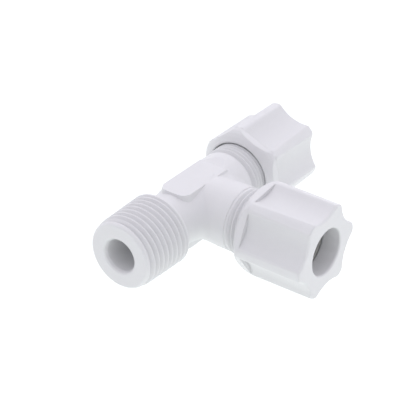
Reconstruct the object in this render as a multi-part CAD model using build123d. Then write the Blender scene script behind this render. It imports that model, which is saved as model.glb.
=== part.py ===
from build123d import *
import math
import os

# ---------------------------------------------------------------------------
# Male run tee for half-inch plastic tube: one tapered pipe-thread end and two
# compression ports, each with a fluted nut that holds a grip ring, a follower
# sleeve and an O-ring.  Millimetres.  Origin: crossing of the run and branch
# centre-lines.  Run along X (pipe thread towards -X), branch towards -Y, +Z up.
# ---------------------------------------------------------------------------

# ---- moulded tee body ------------------------------------------------------
FLOW_R = 4.7            # water way
NPT_END_X = -34.35       # flat end of the pipe thread
NPT_PITCH = 25.4 / 14   # 1/2-14 taper pipe thread
NPT_TAPER = 1.0 / 32    # radius per length
NPT_CREST_R = 10.05     # crest radius at the end
NPT_DEPTH = 1.08
NPT_SHOULDER_X = -17.4  # back of the threaded end
NPT_MOUTH_R = 5.5       # countersunk mouth of the water way
NECK_R = 7.75           # slim neck behind the pipe thread
BARREL_R = 9.3          # run barrel
BRANCH_R = 9.36         # branch barrel at its thread
BRANCH_R0 = 8.98        # branch barrel at the hub
PAD_Z = 8.67            # height of the two wrench flats
PAD_HALF_W = 4.66
PAD_LEAN = 10            # lean of the land's sides, degrees
PAD_X0, PAD_X1 = -11.6, 7.4

# ---- compression ports (s runs outwards along the port from its first thread)
PORT_X0 = 13.5          # first thread of the run port
PORT_Y0 = 16.0          # first thread of the branch port (towards -Y)
PORT_LEN = 13.6         # threaded length up to the mouth
TH_PITCH = 1.27         # 3/4-20 thread
TH_CREST_R = 9.525      # 3/4 inch outside diameter
TH_ROOT_R = 8.78
TH_BAND_R = 9.08         # plain band between barrel and thread
SOCKET_R = 6.5          # socket for 12.7 mm tube
SOCKET_S0 = 1.9         # tube stop
SEAT_S0 = 10.7          # start of the conical seat
SEAT_R = 8.25           # seat radius at the mouth
RUN_TH_PHASE = 0.0    # clocking of each moulded thread, degrees
BRANCH_TH_PHASE = -84.5

# ---- nuts (n runs forwards from the nut's rear face) -----------------------
NUT_LEN = 22.8
NUT_RIM_R = 10.55       # rear rim
NUT_CONE_N1 = 2.2       # length of the steep rear cone
NUT_HEX_APOTHEM = 12.0  # six-sided collar behind the flutes
NUT_HEX_FILLET = 2.95
NUT_LOBE_R = 13.4       # over the lobes, rear
NUT_FRONT_R = 13.14     # over the lobes, front
NUT_FLUTE_FLOOR = 10.84
NUT_FLUTE_RHO = 11.0
NUT_LOBE_FILLET = 1.75
NUT_EDGE = 0.7          # rounding of the front edge
NUT_FLUTE_N0 = 3.5      # where the flutes stop at the collar
NUT_BORE_R = 6.75       # front bore, clear of 12.7 mm tube
NUT_MINOR_R = 9.09      # crest of the internal thread
NUT_MAJOR_R = 9.80      # root of the internal thread
NUT_CBORE_R = 9.92      # rear counterbore
NUT_CBORE_N = 1.3
NUT_TH_N1 = 11.6        # end of the internal thread
NUT_CONE_N = (13.6, 17.0)
NUT_CONE_R = (9.09, 7.1)
TH_CLEAR = 0.20         # axial play on each flank
NUT_TH_PHASE = 55.4

RUN_NUT_PHI = 21.5      # how far each nut is turned at rest, degrees
BRANCH_NUT_PHI = 245.6
RUN_NUT_S = TH_PITCH * (NUT_TH_PHASE - RUN_TH_PHASE + RUN_NUT_PHI + 1440) / 360
BRANCH_NUT_S = TH_PITCH * (NUT_TH_PHASE - BRANCH_TH_PHASE + BRANCH_NUT_PHI + 720) / 360

# ---- loose rings inside each nut -------------------------------------------
RING_ID_R = 6.58
GRIP_N = (13.5, 16.85)
SLEEVE_N = (11.72, 13.35)
ORING_CS = 1.78
ORING_ID_R = 6.56

FLANK = math.tan(math.radians(30))
RUN = Plane(origin=(PORT_X0, 0, 0), x_dir=(0, 1, 0), z_dir=(1, 0, 0))
BRANCH = Plane(origin=(0, -PORT_Y0, 0), x_dir=(1, 0, 0), z_dir=(0, -1, 0))


def revolved(points):
    """Solid of revolution about Z from (r, z) corners."""
    face = Face(Wire.make_polygon([Vector(r, 0, z) for r, z in points], close=True))
    return Solid(revolve(face, Axis.Z, 360).wrapped)


def helical_ridge(pitch, turns_len, corners, angle=0.0, z0=0.0, taper=0.0):
    """Closed helical ridge along +Z; corners are (r, dz) of its section."""
    edges = []
    for r, dz in corners:
        e = Edge.make_helix(pitch, turns_len, r + taper * (z0 + dz),
                            angle=math.degrees(math.atan(taper)))
        edges.append(e.moved(Location((0, 0, z0 + dz), (0, 0, angle))))
    n = len(edges)
    faces = [Face.make_surface_from_curves(edges[i], edges[(i + 1) % n]) for i in range(n)]
    faces.append(Face(Wire.make_polygon([e @ 0 for e in edges], close=True)))
    faces.append(Face(Wire.make_polygon([e @ 1 for e in edges], close=True)))
    return Solid(Shell(faces))


def one(shape):
    s = shape.solids()
    return max(s, key=lambda q: q.volume)


def common(a, b):
    return one(a.intersect(b) if not isinstance(a.intersect(b), list) else Compound(a.intersect(b)))


def port_core(barrel_r, phase):
    """Threaded port along +Z from z = -2 to its mouth, before boring."""
    w = 0.09
    root = TH_ROOT_R - 0.14
    wr = w + (TH_CREST_R - root) * FLANK
    # ridge centre passes z = 0 at angle = phase
    start = 0.0
    ridge = helical_ridge(TH_PITCH, PORT_LEN + 1.27,
                          [(root, -wr), (TH_CREST_R, -w), (TH_CREST_R, w), (root, wr)],
                          angle=phase, z0=start)
    env = revolved([(6.0, 0.45), (TH_ROOT_R + 0.02, 0.45), (TH_CREST_R, 0.75),
                    (TH_CREST_R + 0.2, 0.9), (TH_CREST_R + 0.2, PORT_LEN - 1.1),
                    (TH_ROOT_R - 0.25, PORT_LEN), (6.0, PORT_LEN)])
    ridge = common(ridge, env)
    core = revolved([(0, -2), (TH_ROOT_R, -2), (TH_ROOT_R, PORT_LEN - 0.25),
                     (TH_ROOT_R - 0.25, PORT_LEN), (0, PORT_LEN)])
    return one(core.fuse(ridge))


def port_bore():
    """Everything removed from a port: tube socket, conical seat, entry."""
    return revolved([(0, SOCKET_S0), (SOCKET_R, SOCKET_S0), (SOCKET_R, SEAT_S0),
                     (SEAT_R, PORT_LEN), (SEAT_R, PORT_LEN + 1), (0, PORT_LEN + 1)])


def make_body():
    # run: slim neck that flares into the barrel
    prof = Polyline((NPT_SHOULDER_X - 1, 0), (NPT_SHOULDER_X - 1, NECK_R), (-15.2, NECK_R))
    flare = Spline([(-15.2, NECK_R), (-11.0, 8.05), (-7.0, 8.75), (-2.0, BARREL_R)],
                   tangents=[(1, 0), (1, 0)])
    rest = Polyline((-2.0, BARREL_R), (PORT_X0 - 0.6, BARREL_R), (PORT_X0 - 0.45, TH_BAND_R), (PORT_X0 + 0.3, TH_BAND_R),
                    (PORT_X0 + 0.5, TH_ROOT_R), (PORT_X0 + 0.5, 0), (NPT_SHOULDER_X - 1, 0))
    wire = Wire(list(prof.edges()) + list(flare.edges()) + list(rest.edges()))
    run = Solid(revolve(Face(wire), Axis.X, 360).wrapped)

    branch = Plane(origin=(0, 0, 0), x_dir=(1, 0, 0), z_dir=(0, -1, 0)) * revolved(
        [(0, 0), (BRANCH_R0, 0), (BRANCH_R0, 4.0), (BRANCH_R, 11.5), (BRANCH_R, PORT_Y0 - 0.6), (TH_BAND_R, PORT_Y0 - 0.45), (TH_BAND_R, PORT_Y0 + 0.3),
         (TH_ROOT_R, PORT_Y0 + 0.5), (0, PORT_Y0 + 0.5)])
    hub = one(run.fuse(one(branch)))
    # soft web in the two inside corners
    side = [e for e in hub.edges()
            if e.geom_type not in (GeomType.CIRCLE, GeomType.LINE)
            and -12 < e.center().X < 12 and e.center().Y < -1]
    for r in (3.6, 3.0, 2.2):
        try:
            trial = hub.fillet(r, side)
            if trial.is_valid and len(trial.solids()) == 1:
                hub = one(trial)
                print("corner fillet", r)
                break
        except Exception as err:
            print("fillet", r, "failed", str(err)[:80])

    # wrench flats: a raised land top and bottom, cut level
    cx, lx = (PAD_X0 + PAD_X1) / 2, PAD_X1 - PAD_X0
    with BuildSketch() as land:
        with Locations((cx, 0)):
            Rectangle(lx, 2 * PAD_HALF_W)
        fillet(land.vertices().filter_by(lambda v: v.X < 0), 2.8)
    for sgn in (1, -1):
        block = extrude(land.sketch, amount=-(PAD_Z - 3.0), taper=-PAD_LEAN)
        block = Location((0, 0, PAD_Z)) * block
        if sgn < 0:
            block = block.mirror(Plane.XY)
        hub = one(hub.fuse(one(block)))
        # level the crowns of both barrels over the land, with a sloped run-out
        outline = [(PAD_X0 - 1, PAD_HALF_W + 3), (PAD_X0 - 1, -PAD_HALF_W - 0.35),
                   (PAD_X1, -PAD_HALF_W - 0.35), (PAD_X1, PAD_HALF_W + 3)]
        cut = extrude(Face(Wire.make_polygon([Vector(x, y, 0) for x, y in outline], close=True)), amount=4.0,
                      dir=(0, 0, 1))
        cut = Location((0, 0, PAD_Z)) * cut
        ramp = extrude(Face(Wire.make_polygon([Vector(PAD_X1 - 0.01, -8, PAD_Z), Vector(PAD_X1 + 5.5, -8, PAD_Z + 1.0),
                                               Vector(PAD_X1 + 5.5, -8, PAD_Z + 4), Vector(PAD_X1 - 0.01, -8, PAD_Z + 4)],
                                              close=True)), amount=16, dir=(0, 1, 0))
        for c in (cut, ramp):
            c = one(c)
            if sgn < 0:
                c = one(c.mirror(Plane.XY))
            hub = one(hub.cut(c))

    # pipe thread, built along +Z from its end face and laid down towards -X
    L = NPT_SHOULDER_X - NPT_END_X
    root0 = NPT_CREST_R - NPT_DEPTH
    core = revolved([(0, 0), (9.0, 0), (9.25, 0.12), (9.62, 0.6), (9.72, 0.85), (9.68, 1.05), (9.4, 1.25), (root0 + 0.03, 1.55),
                     (root0 + NPT_TAPER * (L - 1.5), L - 1.5), (NPT_CREST_R + NPT_TAPER * (L - 1.3) - 0.08, L - 0.85),
                     (NPT_CREST_R + NPT_TAPER * (L - 1.3), L - 0.7),
                     (NPT_CREST_R + NPT_TAPER * (L - 1.3), L - 0.35), (NPT_CREST_R + NPT_TAPER * L - 0.35, L),
                     (NECK_R, L + 0.0), (NECK_R, L + 1.5), (0, L + 1.5)])
    emb = 0.15
    wt, wc = 0.10, 0.24
    wr = wc + (NPT_DEPTH - 0.12 + emb) * FLANK
    ridge = helical_ridge(NPT_PITCH, L - 2.9,
                          [(NPT_CREST_R - NPT_DEPTH - emb, -wr), (NPT_CREST_R - 0.12, -wc), (NPT_CREST_R, -wt),
                           (NPT_CREST_R, wt), (NPT_CREST_R - 0.12, wc), (NPT_CREST_R - NPT_DEPTH - emb, wr)],
                          angle=-60.0, z0=1.45, taper=NPT_TAPER)
    env = revolved([(5, 0.95), (root0 - 0.2, 0.95), (NPT_CREST_R + 0.1, 2.3), (NPT_CREST_R + 1.2, 5.0),
                    (NPT_CREST_R + 1.2, L - 0.4), (5, L - 0.4)])
    ridge = common(ridge, env)
    thread = one(core.fuse(ridge))
    npt = Plane(origin=(NPT_END_X, 0, 0), x_dir=(0, 1, 0), z_dir=(1, 0, 0)) * thread
    body = one(hub.fuse(one(npt)))

    # compression ports
    body = one(body.fuse(one(RUN * port_core(BARREL_R, RUN_TH_PHASE))))
    body = one(body.fuse(one(BRANCH * port_core(BRANCH_R, BRANCH_TH_PHASE))))

    # water ways and sockets
    bore_x = Plane(origin=(NPT_END_X, 0, 0), x_dir=(0, 1, 0), z_dir=(1, 0, 0)) * revolved(
        [(0, -1), (NPT_MOUTH_R + 0.5, -1), (NPT_MOUTH_R, 0), (NPT_MOUTH_R - 0.45, 0.28), (FLOW_R, 1.0),
         (FLOW_R, PORT_X0 + SOCKET_S0 - NPT_END_X + 0.1), (0, PORT_X0 + SOCKET_S0 - NPT_END_X + 0.1)])
    bore_y = Plane(origin=(0, 0, 0), x_dir=(1, 0, 0), z_dir=(0, -1, 0)) * revolved(
        [(0, 0), (FLOW_R, 0), (FLOW_R, PORT_Y0 + SOCKET_S0 + 0.1), (0, PORT_Y0 + SOCKET_S0 + 0.1)])
    for c in (bore_x, bore_y, RUN * port_bore(), BRANCH * port_bore()):
        body = one(body.cut(one(c)))
    return body


def make_nut():
    """Fluted nut along +Z, rear face at z = 0, one lobe on +X."""
    c = NUT_FLUTE_FLOOR + NUT_FLUTE_RHO
    with BuildSketch() as sk:
        Circle(NUT_LOBE_R)
        with PolarLocations(c, 6, start_angle=30):
            Circle(NUT_FLUTE_RHO, mode=Mode.SUBTRACT)
        fillet(sk.vertices(), NUT_LOBE_FILLET)
    fluted = Location((0, 0, NUT_FLUTE_N0)) * one(extrude(sk.sketch, amount=NUT_LEN - NUT_FLUTE_N0))
    front = fluted.faces().sort_by(Axis.Z)[-1]
    for r in (NUT_EDGE, 0.45, 0.3):
        try:
            trial = fluted.fillet(r, front.outer_wire().edges())
            if trial.is_valid:
                fluted = one(trial)
                print("nut front edge", r)
                break
        except Exception as err:
            print("nut edge", r, "failed", str(err)[:60])
    with BuildSketch() as hexa:
        RegularPolygon(NUT_HEX_APOTHEM, 6, major_radius=False, rotation=0)
        fillet(hexa.vertices(), NUT_HEX_FILLET)
    collar = one(extrude(hexa.sketch, amount=NUT_FLUTE_N0))
    nut = one(fluted.fuse(collar))
    env = revolved([(0, 0), (NUT_RIM_R - 0.15, 0), (NUT_RIM_R, 0.15), (11.6, 0.35 * NUT_CONE_N1),
                    (12.5, 0.66 * NUT_CONE_N1), (13.1, NUT_CONE_N1), (NUT_LOBE_R + 0.01, NUT_CONE_N1 + 0.8),
                    (NUT_FRONT_R, NUT_LEN + 0.01), (0, NUT_LEN + 0.01)])
    nut = common(nut, env)
    bore = revolved([(0, -1), (NUT_CBORE_R, -1), (NUT_CBORE_R, NUT_CBORE_N - 0.35), (NUT_MINOR_R, NUT_CBORE_N + 0.5),
                     (NUT_MINOR_R, NUT_CONE_N[0]), (NUT_CONE_R[1], NUT_CONE_N[1]), (NUT_BORE_R, NUT_CONE_N[1] + 0.2),
                     (NUT_BORE_R, NUT_LEN - 0.45), (NUT_BORE_R + 0.13, NUT_LEN - 0.13), (NUT_BORE_R + 0.45, NUT_LEN),
                     (NUT_BORE_R + 0.45, NUT_LEN + 1), (0, NUT_LEN + 1)])
    nut = one(nut.cut(bore))
    # internal thread: helical groove that clears the port's ridge on both flanks
    w = 0.09 + (TH_CREST_R - NUT_MAJOR_R) * FLANK + TH_CLEAR
    inner = NUT_MINOR_R - 0.10
    wi = 0.09 + (TH_CREST_R - inner) * FLANK + TH_CLEAR
    groove = helical_ridge(TH_PITCH, NUT_TH_N1 + 1.27,
                           [(inner, -wi), (NUT_MAJOR_R, -w), (NUT_MAJOR_R, w), (inner, wi)],
                           angle=NUT_TH_PHASE, z0=-TH_PITCH)
    nut = one(nut.cut(groove))
    return nut


def make_grip_ring():
    """Split grip ring with an outer cone; the teeth are in its rear half."""
    a, b = GRIP_N
    body = revolved([(RING_ID_R + 0.35, a), (8.6, a), (8.75, a + 0.1), (8.75, a + 0.2),
                     (6.96, b - 0.1), (6.86, b), (RING_ID_R + 0.06, b),
                     (RING_ID_R, b - 0.1), (RING_ID_R, b - 2.05), (RING_ID_R + 0.3, b - 2.4),
                     (RING_ID_R, b - 2.65), (RING_ID_R + 0.3, b - 2.95), (RING_ID_R, b - 3.15)])
    slot = Location((8, 0, (a + b) / 2)) * Solid.make_box(6, 1.4, b - a + 1).moved(Location((-3, -0.7, -(b - a + 1) / 2)))
    return one(body.cut(slot))


def make_sleeve():
    """Follower sleeve between the grip ring and the O-ring."""
    a, b = SLEEVE_N
    return revolved([(RING_ID_R + 0.05, a + 0.2), (RING_ID_R + 0.3, a), (7.9, a), (8.1, a + 0.2),
                     (8.1, a + 0.6), (8.6, a + 0.85), (8.6, b - 0.2), (8.4, b), (RING_ID_R + 0.25, b),
                     (RING_ID_R + 0.05, b - 0.2)])


def make_oring():
    rc = ORING_ID_R + ORING_CS / 2
    # the ring rests in the conical seat with a hair of room
    slope = (SEAT_R - SOCKET_R) / (PORT_LEN - SEAT_S0)
    ang = math.atan(slope)
    gap = ORING_CS / 2 + 0.012
    # distance from ring centre (rc, s) to the seat line equals gap
    s = PORT_LEN - ((SEAT_R - rc) - gap / math.cos(ang)) / slope
    print("o-ring at s =", round(s, 3))
    t = Solid.make_torus(rc, ORING_CS / 2)
    return t.moved(Location((0, 0, s)))


os.makedirs("parts", exist_ok=True)

body = make_body()
nut = make_nut()
grip = make_grip_ring()
sleeve = make_sleeve()
oring = make_oring()


def seat_on(plane, shape, s, phi):
    return plane * (Location((0, 0, s), (0, 0, phi)) * shape)


parts = {
    "tee_body": body,
    "run_nut": seat_on(RUN, nut, RUN_NUT_S, RUN_NUT_PHI),
    "run_grip_ring": seat_on(RUN, grip, RUN_NUT_S, 150),
    "run_sleeve": seat_on(RUN, sleeve, RUN_NUT_S, 0),
    "run_o_ring": seat_on(RUN, oring, 0, 0),
    "branch_nut": seat_on(BRANCH, nut, BRANCH_NUT_S, BRANCH_NUT_PHI),
    "branch_grip_ring": seat_on(BRANCH, grip, BRANCH_NUT_S, 40),
    "branch_sleeve": seat_on(BRANCH, sleeve, BRANCH_NUT_S, 0),
    "branch_o_ring": seat_on(BRANCH, oring, 0, 0),
}
for name, shape in parts.items():
    solid = one(shape)
    solid.label = name
    export_step(solid, "parts/%s.step" % name)
    bb = solid.bounding_box()
    print(name, "valid", solid.is_valid, "vol %.1f" % solid.volume,
          "x %.2f..%.2f y %.2f..%.2f z %.2f..%.2f" % (bb.min.X, bb.max.X, bb.min.Y, bb.max.Y, bb.min.Z, bb.max.Z))
print("run nut s %.3f, branch nut s %.3f" % (RUN_NUT_S, BRANCH_NUT_S))
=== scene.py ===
import bpy
import math
from mathutils import Matrix, Vector


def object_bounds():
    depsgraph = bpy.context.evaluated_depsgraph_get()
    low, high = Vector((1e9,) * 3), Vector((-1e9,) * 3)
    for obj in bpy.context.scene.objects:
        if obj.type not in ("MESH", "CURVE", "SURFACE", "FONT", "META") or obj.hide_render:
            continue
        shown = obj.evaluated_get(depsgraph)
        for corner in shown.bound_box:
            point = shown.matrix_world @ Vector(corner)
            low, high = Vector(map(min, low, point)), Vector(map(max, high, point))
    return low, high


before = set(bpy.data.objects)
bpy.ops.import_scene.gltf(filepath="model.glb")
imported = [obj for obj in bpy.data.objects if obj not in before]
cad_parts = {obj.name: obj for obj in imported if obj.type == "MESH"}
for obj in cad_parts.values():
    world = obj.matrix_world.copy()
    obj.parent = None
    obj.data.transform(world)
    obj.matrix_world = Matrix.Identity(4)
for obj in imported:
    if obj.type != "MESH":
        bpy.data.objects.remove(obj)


def plain(v):
    return [[float(c) for c in p] for p in v]


cad_box = plain(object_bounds())
scene = bpy.context.scene


# --------------------------------------------------------------------------
# materials: everything here is procedural and lies in object space (metres)
# --------------------------------------------------------------------------
def new_material(name):
    m = bpy.data.materials.new(name)
    m.use_nodes = True
    nt = m.node_tree
    nt.nodes.clear()
    out = nt.nodes.new("ShaderNodeOutputMaterial")
    bsdf = nt.nodes.new("ShaderNodeBsdfPrincipled")
    nt.links.new(bsdf.outputs["BSDF"], out.inputs["Surface"])
    return m, nt, bsdf


def noise(nt, vec, scale, detail=2.0, rough=0.5, distortion=0.0):
    n = nt.nodes.new("ShaderNodeTexNoise")
    n.inputs["Scale"].default_value = scale
    n.inputs["Detail"].default_value = detail
    n.inputs["Roughness"].default_value = rough
    n.inputs["Distortion"].default_value = distortion
    nt.links.new(vec, n.inputs["Vector"])
    return n.outputs["Fac"]


def ramp(nt, fac, stops):
    r = nt.nodes.new("ShaderNodeValToRGB")
    els = r.color_ramp.elements
    while len(els) < len(stops):
        els.new(0.5)
    for e, (p, c) in zip(els, stops):
        e.position = p
        e.color = c if len(c) == 4 else (*c, 1)
    nt.links.new(fac, r.inputs["Fac"])
    return r.outputs["Color"]


def math_node(nt, op, a, b=None, c=None, clamp=False):
    n = nt.nodes.new("ShaderNodeMath")
    n.operation = op
    n.use_clamp = clamp
    for i, v in enumerate((a, b, c)):
        if v is None:
            continue
        if hasattr(v, "links"):
            nt.links.new(v, n.inputs[i])
        else:
            n.inputs[i].default_value = v
    return n.outputs[0]


def mix_color(nt, fac, a, b, mode="MIX"):
    n = nt.nodes.new("ShaderNodeMix")
    n.data_type = "RGBA"
    n.blend_type = mode
    for sock, v in ((n.inputs[0], fac), (n.inputs[6], a), (n.inputs[7], b)):
        if hasattr(v, "links"):
            nt.links.new(v, sock)
        else:
            sock.default_value = v
    return n.outputs[2]


def moulded_plastic(name, base, tint, rough=0.42, grain=0.00004, flow_axis=(1.0, 0.25, 1.0), seed=0.0,
                    specular=0.42, sss=0.12, soft=0.0):
    m, nt, bsdf = new_material(name)
    tc = nt.nodes.new("ShaderNodeTexCoord")
    mp = nt.nodes.new("ShaderNodeMapping")
    mp.inputs["Location"].default_value = (seed, seed * 0.7, seed * 1.3)
    nt.links.new(tc.outputs["Object"], mp.inputs["Vector"])
    vec = mp.outputs["Vector"]
    fl = nt.nodes.new("ShaderNodeMapping")
    fl.inputs["Scale"].default_value = flow_axis
    nt.links.new(vec, fl.inputs["Vector"])

    cloud = noise(nt, vec, 95.0, 3.0, 0.55)            # about 10 mm: uneven pigment
    flow = noise(nt, fl.outputs["Vector"], 420.0, 4.0, 0.6, 0.6)   # melt flow streaks
    speck = noise(nt, vec, 5200.0, 2.0, 0.6)           # fine specks of resin
    geo = nt.nodes.new("ShaderNodeNewGeometry")
    edge = ramp(nt, geo.outputs["Pointiness"], [(0.505, (0, 0, 0)), (0.56, (1, 1, 1))])
    crease_shade_mask = ramp(nt, geo.outputs["Pointiness"], [(0.43, (1, 1, 1)), (0.495, (0, 0, 0))])

    c1 = mix_color(nt, cloud, (*base, 1), (*tint, 1))
    streak = ramp(nt, flow, [(0.38, (0.988, 0.988, 0.990)), (0.62, (1.0, 1.0, 1.0))])
    c2 = mix_color(nt, 1.0, c1, streak, "MULTIPLY")
    sp = ramp(nt, speck, [(0.30, (0.975, 0.975, 0.975)), (0.42, (1, 1, 1))])
    c3 = mix_color(nt, 1.0, c2, sp, "MULTIPLY")
    # painted highlight: convex edges (high pointiness) are lightened in the base colour
    edge_highlight_color = tuple(min(1.0, 1.035 * c) for c in base)
    c4 = mix_color(nt, math_node(nt, "MULTIPLY", edge, 0.5), c3, (*edge_highlight_color, 1))
    # painted shade: concave creases and hollows (low pointiness) are darkened in the base colour
    crease_shade_color = tuple(0.93 * c for c in base)
    c5 = mix_color(nt, math_node(nt, "MULTIPLY", crease_shade_mask, 0.35), c4, (*crease_shade_color, 1))
    nt.links.new(c5, bsdf.inputs["Base Color"])

    r1 = math_node(nt, "MULTIPLY_ADD", cloud, 0.10, rough - 0.05)
    r2 = math_node(nt, "MULTIPLY_ADD", speck, 0.08, r1)
    r3 = math_node(nt, "MULTIPLY_ADD", edge, -0.08, r2, clamp=True)
    nt.links.new(r3, bsdf.inputs["Roughness"])

    fine = noise(nt, vec, 9000.0, 3.0, 0.6)
    mid = noise(nt, vec, 1400.0, 2.0, 0.5)
    h = math_node(nt, "ADD", math_node(nt, "MULTIPLY", fine, 0.6), math_node(nt, "MULTIPLY", mid, 0.8))
    h2 = math_node(nt, "MULTIPLY_ADD", flow, 0.4, h)
    bump = nt.nodes.new("ShaderNodeBump")
    bump.inputs["Strength"].default_value = 0.55
    bump.inputs["Distance"].default_value = grain
    nt.links.new(h2, bump.inputs["Height"])
    if soft:                                           # moulded edges are never quite sharp
        bv = nt.nodes.new("ShaderNodeBevel")
        bv.samples = 6
        bv.inputs["Radius"].default_value = soft
        nt.links.new(bv.outputs["Normal"], bump.inputs["Normal"])
    nt.links.new(bump.outputs["Normal"], bsdf.inputs["Normal"])
    bsdf.inputs["Specular IOR Level"].default_value = specular
    bsdf.inputs["IOR"].default_value = 1.49
    bsdf.inputs["Subsurface Weight"].default_value = sss
    bsdf.inputs["Subsurface Radius"].default_value = (1.0, 0.95, 0.9)
    bsdf.inputs["Subsurface Scale"].default_value = 0.0015
    return m


body_mat = moulded_plastic("white_body_plastic", (0.778, 0.778, 0.785), (0.768, 0.768, 0.776), seed=0.11)
nut_mat = moulded_plastic("white_nut_plastic", (0.780, 0.780, 0.787), (0.770, 0.770, 0.778), rough=0.40, seed=0.37,
                          flow_axis=(0.3, 1.0, 1.0), soft=0.0006)
grip_mat = moulded_plastic("grip_ring_plastic", (0.60, 0.60, 0.57), (0.57, 0.57, 0.54), rough=0.36, seed=0.53)
sleeve_mat = moulded_plastic("sleeve_plastic", (0.74, 0.74, 0.73), (0.71, 0.71, 0.70), rough=0.38, seed=0.71)

seal_mat, nt, bsdf = new_material("seal_rubber")
tc = nt.nodes.new("ShaderNodeTexCoord")
n1 = noise(nt, tc.outputs["Object"], 700.0, 4.0, 0.6)
n2 = noise(nt, tc.outputs["Object"], 6000.0, 2.0, 0.6)
nt.links.new(ramp(nt, n1, [(0.3, (0.030, 0.030, 0.031)), (0.7, (0.055, 0.055, 0.057))]), bsdf.inputs["Base Color"])
nt.links.new(math_node(nt, "MULTIPLY_ADD", n2, 0.25, 0.42), bsdf.inputs["Roughness"])
b = nt.nodes.new("ShaderNodeBump")
b.inputs["Strength"].default_value = 0.4
b.inputs["Distance"].default_value = 0.00003
nt.links.new(n2, b.inputs["Height"])
nt.links.new(b.outputs["Normal"], bsdf.inputs["Normal"])

looks = {"tee_body": body_mat, "run_nut": nut_mat, "branch_nut": nut_mat,
         "run_grip_ring": grip_mat, "branch_grip_ring": grip_mat,
         "run_sleeve": sleeve_mat, "branch_sleeve": sleeve_mat,
         "run_o_ring": seal_mat, "branch_o_ring": seal_mat}
for node, mat in looks.items():
    ob = bpy.data.objects[node]
    for s in ob.material_slots:
        s.material = mat

# --------------------------------------------------------------------------
# floor, light and camera
# --------------------------------------------------------------------------
low = min(p[2] for p in cad_box)
me = bpy.data.meshes.new("floor")
S = 3.0
me.from_pydata([(-S, -S, low), (S, -S, low), (S, S, low), (-S, S, low)], [], [(0, 1, 2, 3)])
floor = bpy.data.objects.new("floor", me)
scene.collection.objects.link(floor)
fm, nt, bsdf = new_material("floor_pale")
bsdf.inputs["Base Color"].default_value = (0.12, 0.12, 0.12, 1)
bsdf.inputs["Roughness"].default_value = 0.95
bsdf.inputs["Specular IOR Level"].default_value = 0.0
bsdf.inputs["Emission Color"].default_value = (0.965, 1.0, 1.0, 1)
bsdf.inputs["Emission Strength"].default_value = 1.05
floor.data.materials.append(fm)

# a white light tent: brighter from above and from behind the object
world = bpy.data.worlds.new("studio")
scene.world = world
world.use_nodes = True
wt = world.node_tree
bg = wt.nodes["Background"]
wc = wt.nodes.new("ShaderNodeTexCoord")
dot = wt.nodes.new("ShaderNodeVectorMath")
dot.operation = "DOT_PRODUCT"
wt.links.new(wc.outputs["Generated"], dot.inputs[0])
dot.inputs[1].default_value = (0.27, 0.13, 0.45)
lev = wt.nodes.new("ShaderNodeMath")
lev.operation = "ADD"
wt.links.new(dot.outputs["Value"], lev.inputs[0])
lev.inputs[1].default_value = 0.673
wt.links.new(lev.outputs[0], bg.inputs["Strength"])
bg.inputs["Color"].default_value = (0.99, 0.975, 1.045, 1)


def area(name, loc, target, size, power, color=(1, 1, 1)):
    d = bpy.data.lights.new(name, "AREA")
    d.shape = "SQUARE"
    d.size = size
    d.energy = power
    d.color = color
    o = bpy.data.objects.new(name, d)
    scene.collection.objects.link(o)
    o.location = loc
    o.rotation_euler = (Vector(target) - Vector(loc)).to_track_quat("-Z", "Y").to_euler()
    return o


area("soft_top", (0.25, 0.15, 0.8), (0.0, 0.0, 0.0), 0.6, 0.35)

right = Vector((0.5974, -0.8019, 0.0))
up = Vector((0.4235, 0.3155, 0.8491))
back = Vector((-0.6810, -0.5073, 0.5281))
cam_data = bpy.data.cameras.new("camera")
cam_data.sensor_width = 36.0
cam_data.lens = 36.0 * 1380.035 / 416.0
cam_data.clip_start = 0.01
cam_data.clip_end = 20.0
cam = bpy.data.objects.new("camera", cam_data)
scene.collection.objects.link(cam)
M = Matrix((right, up, back)).transposed().to_4x4()
M.translation = Vector((-0.2618, -0.1986, 0.2023))
cam.matrix_world = M
scene.camera = cam
scene.view_settings.view_transform = "Standard"
scene.view_settings.look = "None"
